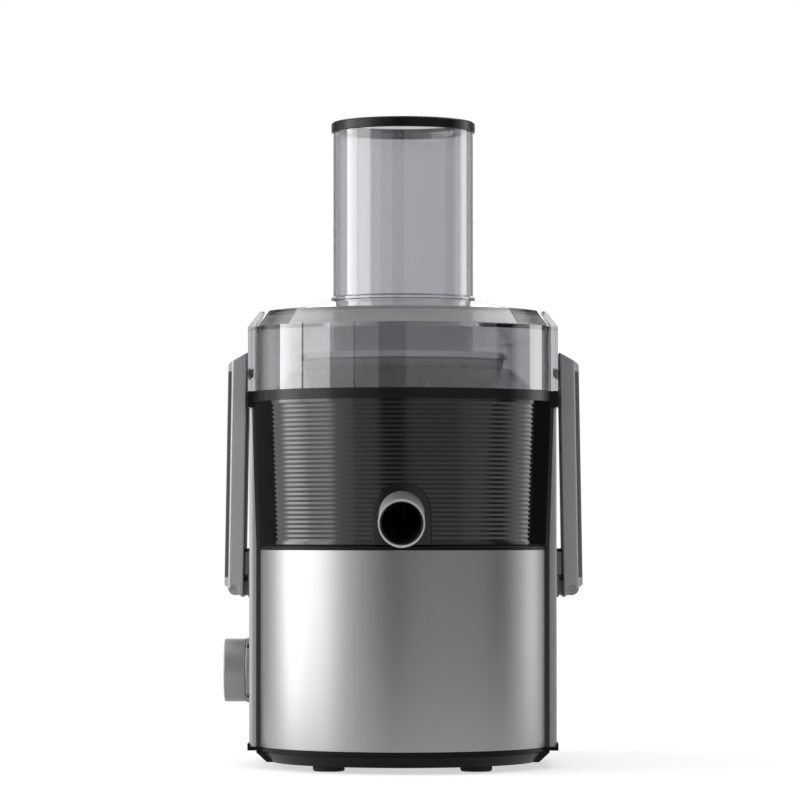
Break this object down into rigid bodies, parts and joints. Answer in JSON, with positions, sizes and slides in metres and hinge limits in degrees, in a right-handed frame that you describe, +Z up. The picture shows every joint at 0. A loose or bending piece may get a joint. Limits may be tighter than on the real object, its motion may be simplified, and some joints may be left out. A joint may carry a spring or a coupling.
{
  "type": "centrifugal juicer",
  "caption": "Centrifugal juicer with a wide clear feed tube, swing-out side clamps, a spinning filter basket, a front spout and a slide-out pulp container.",
  "frame": {"origin": "middle of the footprint on the worktop, at the bottom of the feet", "axes": "+Z up, the spout faces -Y, the pulp container is behind at +Y, the dial is on the -X side"},
  "size_m": [0.2078, 0.2932, 0.3702],
  "materials": {
    "grey_metallic_plastic": "satin metallic grey paint",
    "black_plastic": "gloss black",
    "dark_plastic": "satin black",
    "brushed_steel_panel": "brushed upright",
    "stainless_steel": "bright stainless",
    "clear_cover": "clear plastic with a grey tint",
    "clear_tube": "clear plastic",
    "spout_metal": "bright metal",
    "rubber": "matt rubber",
    "steel": "plain machined metal",
    "lamination_steel": "dark rolled steel",
    "copper": "enamelled copper",
    "carbon": "matt carbon",
    "tub_plastic": "dark grey satin plastic",
    "pointer_paint": "pale inlay"
  },
  "bodies": {
    "motor_base": {"base_pan": "dark_plastic", "rubber_feet": "rubber", "base_screws": "steel", "motor_housing": "grey_metallic_plastic", "steel_front_panel": "brushed_steel_panel", "front_trim_strip": "dark_plastic", "right_clamp_bracket": "dark_plastic", "left_clamp_bracket": "dark_plastic", "dial_bezel": "grey_metallic_plastic", "speed_switch": "dark_plastic", "cord_gland": "rubber", "interlock_switch": "dark_plastic", "interlock_spring": "steel", "shaft_seal": "rubber", "motor_top_frame": "steel", "motor_bottom_frame": "steel", "stator_core": "lamination_steel", "field_coils": "copper", "upper_bearing": "steel", "lower_bearing": "steel", "rubber_mounts": "rubber", "motor_screws": "steel", "brush_holders": "dark_plastic", "carbon_brushes": "carbon", "brush_springs": "steel"},
    "rotor": {"motor_shaft": "steel", "bearing_inner_races": "steel", "commutator": "copper", "armature_core": "lamination_steel", "armature_windings": "copper", "cooling_fan": "dark_plastic", "drive_coupling": "dark_plastic"},
    "spinner": {"spinner_hub": "dark_plastic", "grater_disc": "stainless_steel", "disc_rivets": "steel", "filter_basket": "stainless_steel", "basket_rim": "stainless_steel"},
    "bowl": {"juice_bowl": "dark_plastic", "bowl_rim": "dark_plastic", "bowl_front_panel": "black_plastic", "spout_surround": "black_plastic", "spout_nozzle": "spout_metal", "spout_ring": "spout_metal", "bowl_seal": "rubber", "splash_ring": "clear_cover"},
    "cover": {"cover_shell": "clear_cover", "feed_tube": "clear_tube", "feed_tube_ring": "black_plastic"},
    "right_clamp": {"right_clamp_arm": "grey_metallic_plastic", "right_clamp_facing": "dark_plastic", "right_clamp_pin": "steel"},
    "left_clamp": {"left_clamp_arm": "grey_metallic_plastic", "left_clamp_facing": "dark_plastic", "left_clamp_pin": "steel"},
    "dial": {"dial_knob": "grey_metallic_plastic", "dial_pointer": "pointer_paint", "dial_shaft": "steel"},
    "plunger": {"interlock_plunger": "dark_plastic"},
    "pulp_tub": {"pulp_container": "tub_plastic"}
  },
  "joints": [
    {"name": "motor_spin", "type": "hinge", "parent": "motor_base", "child": "rotor", "pos_m": [0, -0.0424, 0.15], "axis": [0, 0, 1], "continuous": true},
    {"name": "spinner_lift", "type": "slide", "parent": "rotor", "child": "spinner", "axis": [0, 0, 1], "range_m": [0, 0.1]},
    {"name": "bowl_lift", "type": "slide", "parent": "motor_base", "child": "bowl", "axis": [0, 0, 1], "range_m": [0, 0.05]},
    {"name": "cover_lift", "type": "slide", "parent": "motor_base", "child": "cover", "axis": [0, 0, 1], "range_m": [0, 0.15]},
    {"name": "right_clamp_swing", "type": "hinge", "parent": "motor_base", "child": "right_clamp", "pos_m": [0.0973, -0.0174, 0.1022], "axis": [0, 1, 0], "range_deg": [0, 75]},
    {"name": "left_clamp_swing", "type": "hinge", "parent": "motor_base", "child": "left_clamp", "pos_m": [-0.0973, -0.0174, 0.1022], "axis": [0, -1, 0], "range_deg": [0, 75]},
    {"name": "dial_turn", "type": "hinge", "parent": "motor_base", "child": "dial", "pos_m": [-0.0876, -0.0174, 0.0545], "axis": [-1, 0, 0], "range_deg": [-45, 90]},
    {"name": "interlock_press", "type": "slide", "parent": "motor_base", "child": "plunger", "axis": [0, 0, 1], "range_m": [0, 0.0025], "deforming": ["interlock_spring"]},
    {"name": "pulp_tub_slide", "type": "slide", "parent": "motor_base", "child": "pulp_tub", "axis": [0, 1, 0], "range_m": [0, 0.13]}
  ],
  "couplings": [
    {"joint": "spinner_lift", "follows": "cover_lift", "ratio": 0.66},
    {"joint": "bowl_lift", "follows": "cover_lift", "ratio": 0.33},
    {"joint": "right_clamp_swing", "follows": "cover_lift", "rad_per_m": 8.72},
    {"joint": "left_clamp_swing", "follows": "cover_lift", "rad_per_m": 8.72},
    {"joint": "interlock_press", "follows": "cover_lift", "ratio": 0.0165}
  ]
}
